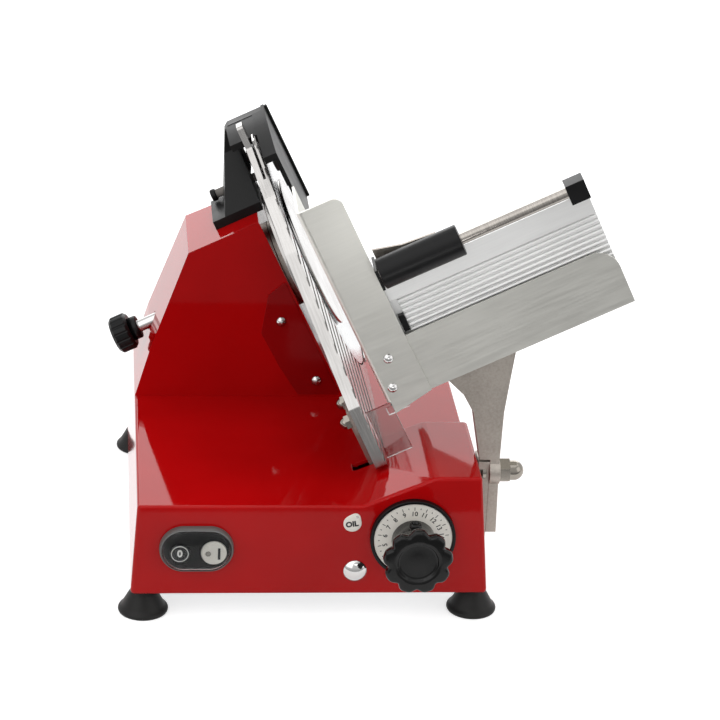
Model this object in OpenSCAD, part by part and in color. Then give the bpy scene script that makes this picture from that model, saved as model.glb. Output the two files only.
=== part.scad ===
// Gravity food slicer with a tilted blade, a sliding product tray and a graduated thickness knob.
// X runs to the right of the operator, Y away from the operator, Z up. The feet stand on Z = 0.

/* [Base] */
// Width of the base at its bottom edge
base_w = 298; // [296:1:304]
// Depth of the base from front panel to rear panel
base_d = 346; // [342:1:360]
// Height of the feet
foot_h = 24; // [20:1:32]
// Height of the low deck above the underside of the casing
deck_z = 82; // [81:0.5:83]
// Rise of the raised deck above the low deck
raise_h = 26; // [25:0.5:27]
// How far the raised deck reaches back
raised_d = 109; // [106:1:120]
// Wall thickness of the casing and of the housing
wall = 3; // [2:0.5:3.5]

/* [Blade] */
// Tilt of the blade from upright, in degrees
tilt = 26; // [25.7:0.1:26.3]
// Radius of the blade
blade_r = 110; // [107:0.5:110.5]
// Radius of the disc in the dish of the blade
cover_disc_r = 70; // [60:1:74]

/* [Thickness gauge] */
// Largest slice thickness
gauge_max = 14; // [10:1:14]
// Thickness of the gauge plate
gauge_t = 10; // [9:0.5:10]
// Turn of the knob over the whole scale, in degrees
knob_turn = 286; // [270:2:290]

/* [Carriage] */
// Length of the tray floor away from the operator
tray_d = 190; // [160:5:200]
// Right end of the tray, from the blade plane
tray_end = 243; // [236:1:250]
// Travel of the carriage away from the operator
travel = 225; // [180:5:225]
// Radius of the pusher grip
grip_r = 13; // [11:0.5:13]

/* [Controls] */
// Radius of the thickness knob
knob_r = 29; // [26:0.5:30]
// Radius of the graduated dial
dial_r = 32.5; // [31:0.5:34]
// Travel of the switch buttons
button_travel = 3; // [2:0.5:3]

/* [Fits] */
// Radial clearance of a shaft in its bore
run_gap = 0.05; // [0.02:0.01:0.08]
// Radial clearance of a fixed pin in its hole
pin_gap = 0.1; // [0.05:0.05:0.2]
// Clearance between pieces that pass each other
pass_gap = 1; // [0.8:0.1:1.2]

/* [Hidden] */
$fn = 64;

// Drawing frame: x = 0 near the middle of the base, y = 0 at the front panel, z = 0 under the casing.
middle = [46.6, 166.5];

// Feed frame: x along the blade axis, y away from the operator, z up in the blade plane,
// with its origin in the middle of the cutting edge.
blade_x = 14.4;
blade_y = 262;
blade_z = 203;
blade_c = [blade_x, blade_y, blade_z];
function world_x(fx, fz) = blade_x + fx * cos(tilt) - fz * sin(tilt);
function world_z(fx, fz) = blade_z + fx * sin(tilt) + fz * cos(tilt);
function front_of(fx, fz) = [world_x(fx, fz), world_z(fx, fz)];
function feed_x(x, z) = (x - blade_x) * cos(tilt) + (z - blade_z) * sin(tilt);
function feed_z(x, z) = (z - blade_z) * cos(tilt) - (x - blade_x) * sin(tilt);

// Base
base_l = 1 - base_w / 2;
base_r = 1 + base_w / 2;
raised_z = deck_z + raise_h;
left_lean = 5;
right_slope = 0.0926;
ramp_x = [41.2, 102];
function right_at(z) = base_r - right_slope * z;
low_outline = [
  [base_l, 0], [base_r, 0], [right_at(deck_z), deck_z], [base_l + left_lean, deck_z]
];
raised_outline = [
  [ramp_x[0], 0], [base_r, 0], [right_at(raised_z), raised_z], [ramp_x[1], raised_z],
  [ramp_x[0], deck_z]
];
well_x = [-125, 34];
well_y = [222, 317];
rim = 5;
plate_x = [base_l + rim, base_r - rim];
plate_y = [wall, base_d - wall];
plate_t = 1.5;
foot_x = [base_l + 11, base_r - 10];
foot_y = [18, base_d - 18];
foot_sole_r = 21;
foot_top_r = 10;
foot_head_z = 12;
foot_head_r = 7;
foot_screw_r = 3;

// Motor housing
house_y = 213;
house_top = 63.5;
house_left = -94;
house_right = -27;
house_back = [325, 298];
house_bend = [-130, 127.5];
house_top_z = world_z(house_right, house_top);
house_left_slope = (house_bend[0] - low_outline[3][0]) / (house_bend[1] - deck_z);
function house_outline(z) = [
  [low_outline[3][0] + house_left_slope * (z - deck_z), z],
  [world_x(house_right, (z - world_z(house_right, 0)) / cos(tilt)), z],
  front_of(house_right, house_top),
  front_of(house_left, house_top),
  house_bend
];
cover_t = 1.2;
cover_outline = [
  front_of(house_right - 2, 3), [-27.2, 180], [-32.2, 143.4], [-15.8, 112.3],
  [1.7, deck_z + 2.6], [39, deck_z + 2.6]
];
cover_screw_at = [[-15, 155], [18, 98]];
small_screw_r = 2;
dome_r = 5;
dome_drop = 2;

// Drive
shaft_r = 8.5;
shaft_bore = 4.6;
tie_r = 4;
hub_r = 46;
hub_x = [-14, -9];
blade_hole = 24;
blade_mid = -6;
blade_dish = 60;
blade_back_rim = -5.5;
screw_ring = 36;
screw_r = 2.5;
screw_head = [4.5, 2];
bearing_r = 17.5;
bearing_w = 10;
bearing_tube_r = 26;
bearing_tube_x = [-62, -17];
bearing_flange_r = 40;
pulley_x = [-84, -70];
pulley_r = 36;
motor_at = [0, -66];
motor_r = 30;
motor_x = [-148, -88];
motor_plate_t = 3;
motor_pulley_r = 10;
motor_shaft_r = 5;
belt_t = 2.5;
belt_gap = 0.3;
web_x = [-20, -16.5];
web_r = 70;
web_end_angle = 62;
ring_x = [web_x[0], 1];
ring_in = blade_r + 3;
ring_out = blade_r + 8;
ring_span = [-94, 74];
disc_x = [-3.6, -0.8];
tie_end = -1.8;
tie_thick_r = 5.5;
tie_exit = -97;
tie_knob_x = [-194.5, -178];
tie_collar = [10, -171];
tie_knob_r = 17;
flutes = 16;

// Sharpener
bridge_y = [14, 26];
bridge_top = 135;
bridge_slot = [-18.5, 3];
bridge_slot_top = 122;
bridge_foot = [-58, -32];
bridge_left_top = -25.4;
hood_y = [-59, bridge_y[1]];
hood_x = [2, 14];
hood_t = 3;
hood_low = 40;
hood_near = 119;
hood_end = 6;
lip = [2.5, 3];
stone_rod_at = [20, 78];
stone_r = 9;
stone_at = (blade_r - stone_r - 0.5) * stone_rod_at / norm(stone_rod_at);
stone_x = [-14.5, -8.5];
stone_travel = 2;
carrier_t = 3.5;
plunger_r = 4;
plunger_left = -54.5;
bracket_front = -25;
bracket_foot_h = 8;
bracket_right = -21;
gusset_top = 112;
roof_front = -22;
button_l = 5;
button_r = 5.5;
deburr_at = [-2, 95];
deburr_r = 12;
deburr_x = [3.2, 7];
deburr_pin_r = 3;

// Thickness gauge
gauge_low = -118;
gauge_gap = 1.5;
gauge_outline = [
  [-218, gauge_low], [-24, gauge_low], [-24, 146], [-38, 146], [-42, 126], [-84, 94], [-128, 56],
  [-211, -60]
];
fork_x = [-4.6, -2.2];
fork_low = 105;
fork_right_top = 131;
groove_step = 14;
groove = [1, 5.5];
grooves = 18;
knob_inset = 65.5;
knob_x = base_r - knob_inset;
knob_z = 54;
knob_fx = feed_x(knob_x, knob_z);
knob_fz = feed_z(knob_x, knob_z);
support_t = 3;
support_y = [-208, -158];
support_z = [-85, -62];
stem_t = 6;
stem_y = [-195, -185];
stem_x = [-gauge_t - stem_t, -gauge_t];
slide_reach = 13.5;
slide_half = 11;
slide_y = [-201, -179];
nut_at = [[-203, -73], [-165, -73]];
bolt_r = 3;
nut_r = 6.5;
nut_h = 4.5;
gauge_rod_r = 5;
gauge_rod_y = -190;
gauge_reach = [60, 15];
gauge_rod_x = [knob_fx - gauge_reach[0], knob_fx + gauge_reach[1]];
bracket_y = [62, 82];
bracket_reach = [60.5, 19.5];
bracket_x = [knob_x - bracket_reach[0], knob_x + bracket_reach[1]];
bracket_lug_w = 6;
bracket_lug_z = [37, 70];
bracket_t = 4;
cam_y = [45, 51];
cam_low = 12;
cam_dwell = 30;
roller_r = 5;
roller_pin_r = 3;
roller_gap = 1.2;
roller_x = knob_fx - cam_low - roller_r - roller_gap;
slide_x = [roller_x - slide_reach, -gauge_t];

// Controls
knob_face = -47;
knob_back = -24;
knob_dish = 3;
lobes = 9;
lobe_r = 6;
collar_r = 19;
dial_y = [-5, -1];
dial_wide = 3;
knob_shaft_r = 5;
knob_boss_r = 10;
knob_boss_end = 17;
switch_at = [-94, 44];
switch_w = 61;
switch_h = 40;
switch_step = 2;
switch_depth = 30;
stop_at = [-107.8, 42];
stop_r = 8.3;
start_at = [-79.8, 42];
start_r = 10.5;
button_gap = 0.4;
button_face = -7;
plug_inset = 46.5;
plug_at = [knob_x - plug_inset, 21.7];
plug_r = 10;
plug_stud_r = 6;
plug_dome = 13;
gland_at = [-90, 36];
gland_r = 8;

// Carriage
rod_r = 7;
rod_at = [base_r - 21, 42];
turn_rod_r = 4;
turn_rod_at = [base_r - 29, 24];
slider_x = [base_r - 36, base_r - 11];
slider_y = [30, 110];
slider_z = [16, 54];
neck_y = [40, 100];
neck_z = [30, 46];
neck_play = 2;
arm_in = base_r + 1;
arm_out = base_r + 10;
tab_x = base_r - 1.5;
tab_y = [38, 60];
tab_z = [28, 104];
arm_y = [38, 52];
arm_low = 38;
arm_bolt_y = (arm_y[0] + arm_y[1]) / 2;
arm_bolt_z = 93;
arm_bolt_r = 5;
arm_boss_r = 11.5;
arm_nut_r = 11;
arm_nut_h = 8.5;
arm_dome_r = 8.5;
arm_head = [8, 3];
floor_z = -60;
sheet = 2;
floor_left = 26;
tray_y = -230;
skirt_t = 1.5;
skirt_top = -8.5;
skirt_left = 29;
skirt_corner = 20;
arm_outline = concat(
  [[arm_in, arm_low], [arm_out, arm_low], [arm_out - 1, 102], [arm_out, 150], [arm_out + 3, 178]],
  [front_of(139, floor_z - sheet), front_of(76, floor_z - sheet)],
  [[125, 166], [134, 150], [arm_in - 9, tab_z[1] + 2], [arm_in, tab_z[1] + 2]]
);
wall_y = -222.5;
wall_back = -218.5;
band_y = -227.5;
band_low = 23;
wall_top = 43;
wall_left = 62;
wall_start = 40;
rib_r = 2;
rib_step = 4.6;
ribs = 9;
cap_x = 67;
cap_z = [-7, 8];
guard_y = [tray_y - 2, tray_y];
guard_bend = 4;
guard_left = 24;
guard_top = 126;
guard_right = 61;
guard_back = -170;
guard_return_low = -58;
guard_corner = 8;
shield_x = [4, 27];
shield_z = [-104, -58];
shield_lap = 40;
shield_t = 1.5;
guard_screw_at = [[40.5, -21], [33.5, -46.5]];
guard_screw_r = 2.2;
push_r = 4.5;
push_y = -242;
push_z = 54.5;
end_block = [16, 8.5];
end_block_y = -250;
end_block_back = -234;
end_leg_top = 49;
end_plate = [2.3, 7];
sleeve_r = 8;
sleeve_x = [64.8, 135];
grip_x = [65.2, 135];
plate_arm_x = [66, 72];
plate_arm_z = [44.5, 51];
plate_far = -150;
plate_back_top = 18;
plate_near = -210;
plate_low = -50;
lever_y = [push_y + grip_r + 0.2, push_y + grip_r + 3];
lever_x = [plate_arm_x[0], 90, 118];
lever_top = [71, 65, 63];
lever_low = [plate_arm_z[0], 50];

// Helpers
module placed() {
  translate([-middle[0], -middle[1], foot_h]) children();
}
module in_feed() {
  translate(blade_c) rotate([0, -tilt, 0]) children();
}
module feed() {
  placed() in_feed() children();
}
// A cylinder along x between two positions, at y and z
module rod_x(r, x, at = [0, 0]) {
  translate([x[0], at[0], at[1]]) rotate([0, 90, 0]) cylinder(r = r, h = x[1] - x[0]);
}
// A cylinder along y between two positions, at x and z
module rod_y(r, y, at = [0, 0]) {
  translate([at[0], y[0], at[1]]) rotate([-90, 0, 0]) cylinder(r = r, h = y[1] - y[0]);
}
module block(x, y, z) {
  translate([x[0], y[0], z[0]]) cube([x[1] - x[0], y[1] - y[0], z[1] - z[0]]);
}
// A front outline, x and z, drawn out between two depths
module front_prism(y) {
  translate([0, y[1], 0]) rotate([90, 0, 0]) linear_extrude(y[1] - y[0]) children();
}
// A side outline, y and z, drawn out between two positions along x
module side_prism(x) {
  translate([x[0], 0, 0]) rotate([90, 0, 90]) linear_extrude(x[1] - x[0]) children();
}
// A plan outline, x and y, drawn out between two heights
module plan_prism(z) {
  translate([0, 0, z[0]]) linear_extrude(z[1] - z[0]) children();
}
// A revolved profile, radius and position, around the feed direction
module turned_x() {
  rotate([0, 90, 0]) rotate_extrude() children();
}
// A low dome that stands out towards the operator
module dome_y(at, y, r, drop) {
  translate([at[0], y, at[1]]) rotate([90, 0, 0]) intersection() {
    translate([0, 0, -drop]) sphere(r = r);
    cylinder(r = r, h = r);
  }
}
function unit(v) = v / norm(v);
// Outline with each corner turned into an arc of radius r
function soft(pts, r, steps = 5) = [
  for (i = [0:len(pts) - 1])
    let (
      p = pts[i],
      a = unit(pts[(i + len(pts) - 1) % len(pts)] - p),
      b = unit(pts[(i + 1) % len(pts)] - p),
      half = acos(a * b) / 2,
      c = p + unit(a + b) * r / sin(half),
      s = p + a * r / tan(half),
      e = p + b * r / tan(half),
      a0 = atan2(s[1] - c[1], s[0] - c[0]),
      turn = ((atan2(e[1] - c[1], e[0] - c[0]) - a0 + 540) % 360) - 180
    )
    for (k = [0:steps]) c + r * [cos(a0 + turn * k / steps), sin(a0 + turn * k / steps)]
];
// Convex outline moved inwards by d
function inset(pts, d) = [
  for (i = [0:len(pts) - 1])
    let (
      p = pts[i],
      a = unit(pts[(i + len(pts) - 1) % len(pts)] - p),
      b = unit(pts[(i + 1) % len(pts)] - p),
      half = acos(a * b) / 2
    )
    p + unit(a + b) * d / sin(half)
];
module oval(w, h) {
  for (s = [-1, 1]) translate([s * (w - h) / 2, 0]) circle(r = h / 2);
  square([w - h, h], center = true);
}

// Painted casing: low deck, ramp and raised deck, open below, with slots for the carriage
// and the gauge, a well under the housing and openings for the controls.
module base_casing() {
  color("firebrick") placed() difference() {
    union() {
      difference() {
        union() {
          front_prism([0, base_d]) polygon(low_outline);
          front_prism([0, raised_d]) polygon(raised_outline);
        }
        front_prism([wall, base_d - wall]) polygon(inset(low_outline, wall));
        front_prism([wall, raised_d - wall]) polygon(inset(raised_outline, wall));
        block(plate_x, plate_y, [-1, rim]);
      }
      rod_y(knob_boss_r, [wall, knob_boss_end], [knob_x, knob_z]);
    }
    block(well_x, well_y, [deck_z - 2 * wall, deck_z + 1]);
    in_feed() block([stem_x[0] - gauge_max - pass_gap, stem_x[1] + pass_gap],
      [stem_y[0] - pass_gap, stem_y[1] + pass_gap], [-150, -95]);
    block([slider_x[1], base_r + 1], [neck_y[0] - neck_play, neck_y[1] + travel + neck_play],
      [neck_z[0] - neck_play, neck_z[1] + neck_play]);
    rod_y(knob_shaft_r + run_gap, [-1, knob_boss_end + 1], [knob_x, knob_z]);
    rod_y(plug_stud_r + pin_gap, [-1, 2 * wall], plug_at);
    front_prism([-1, 2 * wall]) translate(switch_at)
      oval(switch_w - 3 * switch_step, switch_h - 3 * switch_step);
    rod_y(gland_r + pin_gap, [base_d - 2 * wall, base_d + 1], gland_at);
  }
}

// Closing sheet under the casing
module bottom_plate() {
  color("dimgray") placed() difference() {
    block(plate_x, plate_y, [0, plate_t]);
    for (x = foot_x, y = foot_y) translate([x, y, -1])
      cylinder(r = foot_screw_r + pin_gap, h = plate_t + 2);
  }
}

// Rubber foot with a wide sole, screwed on from below
module foot(x, y) {
  color("black") placed() translate([x, y, -foot_h]) difference() {
    rotate_extrude() polygon([
      [0, 0], [foot_sole_r - 1, 0], [foot_sole_r, 1], [foot_sole_r, 3], [foot_sole_r - 3, 6],
      [foot_top_r + 2, foot_h - 7], [foot_top_r, foot_h - 4], [foot_top_r, foot_h], [0, foot_h]
    ]);
    translate([0, 0, -1]) cylinder(r = foot_head_r, h = foot_head_z + 1);
    cylinder(r = foot_screw_r + pin_gap, h = foot_h + 1);
  }
}
module foot_front_left() {
  foot(foot_x[0], foot_y[0]);
}
module foot_front_right() {
  foot(foot_x[1], foot_y[0]);
}
module foot_rear_left() {
  foot(foot_x[0], foot_y[1]);
}
module foot_rear_right() {
  foot(foot_x[1], foot_y[1]);
}

// Screws of the feet
module foot_screws() {
  head_h = 4;
  color("silver") placed() for (x = foot_x, y = foot_y) translate([x, y, foot_head_z - foot_h]) {
    translate([0, 0, -head_h]) cylinder(r = foot_head_r - 1.5, h = head_h);
    cylinder(r = foot_screw_r, h = foot_h - foot_head_z + plate_t + 3);
  }
}

// Painted housing over the motor, with a sloping back and open below
module house_solid(d, low) {
  lean = atan((house_back[0] - house_back[1]) / (house_top_z - deck_z));
  difference() {
    front_prism([house_y + d, house_back[0] + 20])
      polygon(d > 0 ? inset(house_outline(low), d) : house_outline(low));
    translate([-base_w, house_back[0] - d, deck_z]) rotate([lean, 0, 0])
      translate([0, 0, -house_top_z]) cube([2 * base_w, 100, 3 * house_top_z]);
  }
}
module motor_housing() {
  color("firebrick") placed() difference() {
    house_solid(0, deck_z);
    house_solid(wall, deck_z - 2 * wall);
    in_feed() rod_x(bearing_tube_r + pin_gap, [house_right - 3 * wall, house_right + 1]);
    in_feed() rod_x(tie_thick_r + pass_gap, [tie_knob_x[1], tie_exit]);
  }
}

// Small screwed plate on the front of the housing
module housing_cover_plate() {
  color("darkred") placed() difference() {
    front_prism([house_y - cover_t, house_y]) polygon(soft(cover_outline, 2, 3));
    for (p = cover_screw_at) rod_y(small_screw_r + pin_gap, [house_y - 5, house_y + 1], p);
  }
}

// Domed screws of the small plate
module cover_screws() {
  color("silver") placed() for (p = cover_screw_at) {
    dome_y(p, house_y - cover_t, dome_r, dome_drop);
    rod_y(small_screw_r, [house_y - cover_t, house_y], p);
  }
}

// Motor with its end cap and the plate that hangs it on the front wall of the housing
module motor() {
  cap = 8;
  plate_end = motor_x[1] + motor_plate_t;
  color("gray") feed() translate([0, motor_at[0], motor_at[1]]) difference() {
    union() {
      rod_x(motor_r, motor_x);
      rod_x(motor_r - cap, [motor_x[0] - cap, motor_x[0]]);
      block([motor_x[1] - 1, plate_end], [house_y + wall - blade_y - motor_at[0], motor_r],
        [cap - motor_r, motor_r - cap]);
    }
    rod_x(motor_shaft_r + run_gap, [motor_x[1] - 24, plate_end + 1]);
  }
}

// Motor shaft with its small pulley
module motor_pulley() {
  color("silver") feed() translate([0, motor_at[0], motor_at[1]]) {
    rod_x(motor_shaft_r, [motor_x[1] - 20, pulley_x[1] + 3]);
    rod_x(motor_pulley_r, pulley_x);
  }
}

// Drive belt around both pulleys
module belt_outline(d) {
  hull() {
    circle(r = pulley_r + d);
    translate(motor_at) circle(r = motor_pulley_r + d);
  }
}
module drive_belt() {
  color("black") feed() side_prism([pulley_x[0] + 2, pulley_x[1] - 2]) difference() {
    belt_outline(belt_gap + belt_t);
    belt_outline(belt_gap);
  }
}

// Flanged tube that holds both bearings in the right wall of the housing
module bearing_housing() {
  bore = bearing_r + run_gap;
  color("lightgray") feed() turned_x() polygon([
    [bore, bearing_tube_x[0]], [bearing_tube_r, bearing_tube_x[0]], [bearing_tube_r, house_right],
    [bearing_flange_r, house_right], [bearing_flange_r, web_x[0]], [bearing_tube_r, web_x[0]],
    [bearing_tube_r, bearing_tube_x[1]], [bore, bearing_tube_x[1]]
  ]);
}

// Two bearings that carry the blade shaft
module shaft_bearings() {
  inner = shaft_r + run_gap;
  color("silver") feed()
    for (x = [bearing_tube_x[0] + 2, bearing_tube_x[1] - bearing_w - 2]) turned_x()
      translate([inner, x]) square([bearing_r - inner, bearing_w]);
}

// Hollow shaft with the flange that the blade is screwed to
module blade_shaft() {
  spigot = blade_hole - pin_gap;
  color("silver") feed() difference() {
    turned_x() polygon([
      [shaft_bore, pulley_x[0] - 4], [shaft_r, pulley_x[0] - 4], [shaft_r, hub_x[0]],
      [hub_r, hub_x[0]], [hub_r, hub_x[1]], [spigot, hub_x[1]], [spigot, blade_mid],
      [shaft_bore, blade_mid]
    ]);
    blade_screw_holes();
  }
}
module blade_screw_holes() {
  for (a = [0, 120, 240]) rotate([a, 0, 0])
    rod_x(screw_r + pin_gap, [hub_x[0] - 1, blade_mid + 1], [0, screw_ring]);
}

// Large pulley on the blade shaft
module blade_pulley() {
  bore = shaft_r + run_gap;
  rim_w = 8;
  color("dimgray") feed() turned_x() polygon([
    [bore, pulley_x[0]], [pulley_r, pulley_x[0]], [pulley_r, pulley_x[1]],
    [pulley_r - rim_w, pulley_x[1]], [pulley_r - rim_w, pulley_x[1] - rim_w],
    [bore + rim_w, pulley_x[1] - rim_w], [bore + rim_w, pulley_x[1]], [bore, pulley_x[1]]
  ]);
}

// Dished steel blade with a ground edge
module blade() {
  color("whitesmoke") feed() difference() {
    rotate([0, 90, 0]) rotate_extrude($fn = 128) polygon([
      [blade_hole, hub_x[1]], [blade_dish, hub_x[1]], [blade_r - 18, blade_back_rim],
      [blade_r - 6, -2.6], [blade_r, -0.4], [blade_r, 0], [blade_r - 7, -0.6],
      [blade_r - 18, -2.5], [blade_dish, blade_mid], [blade_hole, blade_mid]
    ]);
    blade_screw_holes();
  }
}

// Screws that hold the blade to the flange
module blade_screws() {
  color("silver") feed() for (a = [0, 120, 240]) rotate([a, 0, 0]) {
    rod_x(screw_r, [hub_x[0], blade_mid], [0, screw_ring]);
    rod_x(screw_head[0], [blade_mid, blade_mid + screw_head[1]], [0, screw_ring]);
  }
}

// Flat disc in the dish of the blade, held by the tie rod
module blade_cover() {
  bore = tie_r + run_gap;
  boss_end = -5.8;
  color("gainsboro") feed() turned_x() polygon([
    [bore, boss_end], [bore + 4, boss_end], [bore + 4, disc_x[0]], [cover_disc_r - 1, disc_x[0]],
    [cover_disc_r, disc_x[0] + 1], [cover_disc_r - 0.6, disc_x[1]], [0, disc_x[1]],
    [0, tie_end + 0.2], [bore, tie_end + 0.2]
  ]);
}

// Long rod through the hollow shaft, with a collar outside the housing
module tie_rod() {
  color("silver") feed() turned_x() polygon([
    [0, tie_knob_x[0] + 6], [tie_r, tie_knob_x[0] + 6], [tie_r, tie_knob_x[1]],
    [tie_collar[0], tie_knob_x[1]], [tie_collar[0], tie_collar[1]], [tie_thick_r, tie_collar[1]],
    [tie_thick_r, tie_exit], [tie_r, tie_exit], [tie_r, tie_end], [0, tie_end]
  ]);
}

// Fluted knob on the outer end of the tie rod
module tie_rod_knob() {
  bore = tie_r + pin_gap;
  edge = 2.5;
  flute_r = 1.5;
  color("black") feed() difference() {
    turned_x() polygon([
      [0, tie_knob_x[0]], [tie_knob_r - edge, tie_knob_x[0]], [tie_knob_r, tie_knob_x[0] + edge],
      [tie_knob_r, tie_knob_x[1] - edge], [tie_knob_r - edge, tie_knob_x[1]],
      [bore, tie_knob_x[1]], [bore, tie_knob_x[0] + 5.8], [0, tie_knob_x[0] + 5.8]
    ]);
    for (i = [1:flutes]) rotate([i * 360 / flutes, 0, 0])
      rod_x(flute_r, [tie_knob_x[0] - 1, tie_knob_x[1] + 1], [0, tie_knob_r + 0.6]);
  }
}

// Ring around the far side of the blade, on a disc that is held by the bearing tube
module ring_sector(r, end) {
  span = end - ring_span[0];
  polygon([
    [0, 0],
    for (i = [0:12]) r * [cos(ring_span[0] + span * i / 12), sin(ring_span[0] + span * i / 12)]
  ]);
}
module ring_guard() {
  color("gainsboro") feed() {
    side_prism(web_x) difference() {
      union() {
        circle(r = web_r);
        intersection() {
          circle(r = ring_out, $fn = 128);
          ring_sector(ring_out * 2, web_end_angle);
        }
      }
      circle(r = bearing_tube_r + pin_gap);
    }
    side_prism([web_x[1], ring_x[1]]) intersection() {
      difference() {
        circle(r = ring_out, $fn = 128);
        circle(r = ring_in, $fn = 128);
      }
      ring_sector(ring_out * 2, ring_span[1]);
    }
  }
}

// Bridge of the sharpener over the blade edge, with its foot, gusset and roof and a bore for the push rod
module sharpener_body() {
  leg_low = hood_low + 20;
  right = hood_x[1] - hood_t;
  color("black") feed() difference() {
    union() {
      front_prism(bridge_y) polygon([
        [bridge_foot[0], house_top], [bridge_foot[1], house_top], [bridge_slot[0], 90],
        [bridge_slot[0], bridge_slot_top], [bridge_slot[1], bridge_slot_top],
        [bridge_slot[1], leg_low], [right, leg_low], [right, bridge_top - 1],
        [bridge_left_top + 4, bridge_top - 1], [bridge_left_top, bridge_top - 4]
      ]);
      block([bridge_foot[0] - bracket_foot_h, bracket_right], [bracket_front, bridge_y[1]],
        [house_top, house_top + bracket_foot_h]);
      intersection() {
        front_prism([bracket_front, bridge_y[0]]) polygon([
          [bridge_foot[0], house_top], [bracket_right, house_top], [bracket_right, bridge_top],
          [bridge_left_top, bridge_top - 4]
        ]);
        side_prism([bridge_foot[0], bracket_right]) polygon([
          [bracket_front, house_top], [bridge_y[0], house_top], [bridge_y[0], gusset_top],
          [bracket_front, house_top + bracket_foot_h]
        ]);
      }
      side_prism([bridge_left_top + 2, hood_x[0]]) polygon([
        [bridge_y[0], bridge_slot_top], [roof_front, bridge_slot_top],
        for (i = [0:6]) let (y = roof_front + (bridge_y[0] - roof_front) * i / 6) [y, hood_z(y) - 1]
      ]);
    }
    rod_x(plunger_r + run_gap, [bridge_foot[0], bridge_slot[0] + 1], stone_rod_at);
  }
}

// Hood on the right of the bridge: a flat wall, a curved top and a closed near end
function hood_z(y) = hood_near
  + (bridge_top - hood_near) * sin(90 * (y - hood_y[0]) / (hood_y[1] - hood_y[0]));
module hood_side(y1, low, d) {
  steps = 12;
  polygon([
    [y1, low], [hood_y[0] + d, low],
    for (i = [0:steps]) let (y = hood_y[0] + d + (y1 - hood_y[0] - d) * i / steps)
      [y, hood_z(y) - d]
  ]);
}
module sharpener_hood() {
  wall_x = [hood_x[1] - hood_t, hood_x[1]];
  color("dimgray") feed() difference() {
    union() {
      side_prism(wall_x) hood_side(hood_y[1], hood_low, 0);
      difference() {
        side_prism([hood_x[0], wall_x[0]]) hood_side(bridge_y[0], hood_near - hood_end, 0);
        side_prism([hood_x[0] - 1, wall_x[0]]) hood_side(bridge_y[0] + 1, 0, hood_t);
      }
      block([hood_x[1], hood_x[1] + lip[0]], [hood_y[1] - lip[1], hood_y[1]],
        [hood_low, bridge_top - 1]);
      rod_x(deburr_pin_r + 3, [deburr_x[1] + 1.5, wall_x[0]], deburr_at);
    }
    rod_x(deburr_pin_r + run_gap, [deburr_x[1], hood_x[1] + 1], deburr_at);
  }
}

// Grinding stone on its carrier and push rod
module sharpening_stone() {
  carrier_x = [stone_x[0] - carrier_t, stone_x[0]];
  color("lightslategray") feed() {
    rod_x(plunger_r, [plunger_left - stone_travel - pass_gap, carrier_x[1]], stone_rod_at);
    block(carrier_x, [stone_rod_at[0] - plunger_r, stone_at[0] + plunger_r],
      [stone_rod_at[1] - plunger_r, stone_at[1] + plunger_r]);
    rod_x(stone_r, stone_x, stone_at);
  }
}

// Push button on the outer end of the stone rod
module sharpening_button() {
  end = plunger_left - stone_travel - pass_gap;
  color("black") feed() rod_x(button_r, [end - button_l, end], stone_rod_at);
}

// Small stone that takes the burr off the flat side of the edge
module deburring_stone() {
  color("lightslategray") feed() {
    rod_x(deburr_r, deburr_x, deburr_at);
    rod_x(deburr_pin_r, [deburr_x[1] - 1, hood_x[1]], deburr_at);
  }
}

// Plate in front of the blade edge, ribbed on the product side, with a forked upper end
module gauge_plate() {
  color("gainsboro") feed() difference() {
    side_prism([-gauge_t, 0]) difference() {
      polygon(soft(gauge_outline, 3, 4));
      circle(r = blade_r + gauge_gap, $fn = 128);
    }
    for (i = [1:grooves]) translate([0, -120, gauge_low + i * groove_step]) rotate([13, 0, 0])
      block([-groove[0], 1], [-160, 120], [0, groove[1]]);
    block(fork_x, [-70, -10], [fork_low, 160]);
    block([fork_x[0], 1], [-70, -10], [fork_right_top, 160]);
    for (p = nut_at) rod_x(bolt_r + pin_gap, [-gauge_t - 1, -2], p);
  }
}

// Casting that carries the gauge plate, slides on the inclined rod and holds the cam roller
module gauge_support() {
  color("darkgray") feed() difference() {
    union() {
      block([-gauge_t - support_t, -gauge_t], support_y, support_z);
      block(stem_x, stem_y, [knob_fz, support_z[0] + 2]);
      block(slide_x, slide_y, [knob_fz - slide_half, knob_fz + slide_half]);
      rod_y(roller_pin_r, [cam_y[0] - 1 - blade_y, slide_y[0] + 1], [roller_x, knob_fz]);
    }
    rod_x(gauge_rod_r + run_gap, [slide_x[0] - 1, slide_x[1] + 1], [gauge_rod_y, knob_fz]);
    for (p = nut_at) rod_x(bolt_r + pin_gap, [-gauge_t - support_t - 1, -gauge_t + 1], p);
  }
}

// Acorn nuts with the studs that hold the casting on the plate
module gauge_nuts() {
  back = -gauge_t - support_t;
  color("silver") feed() for (p = nut_at) {
    rod_x(bolt_r, [back - 1, -3], p);
    translate([back - nut_h, p[0], p[1]]) rotate([0, 90, 0]) cylinder(r = nut_r, h = nut_h, $fn = 6);
    translate([back - nut_h, p[0], p[1]]) intersection() {
      sphere(r = nut_r - 1.3);
      rod_x(nut_r, [-nut_r, 0]);
    }
  }
}

// Roller that follows the cam
module cam_roller() {
  y = [cam_y[0] - blade_y, cam_y[1] - blade_y];
  color("silver") feed() difference() {
    rod_y(roller_r, y, [roller_x, knob_fz]);
    rod_y(roller_pin_r + run_gap, [y[0] - 1, y[1] + 1], [roller_x, knob_fz]);
  }
}

// Inclined rod that the gauge casting slides on
module gauge_rod() {
  color("silver") feed() rod_x(gauge_rod_r, gauge_rod_x, [gauge_rod_y, knob_fz]);
}

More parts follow.
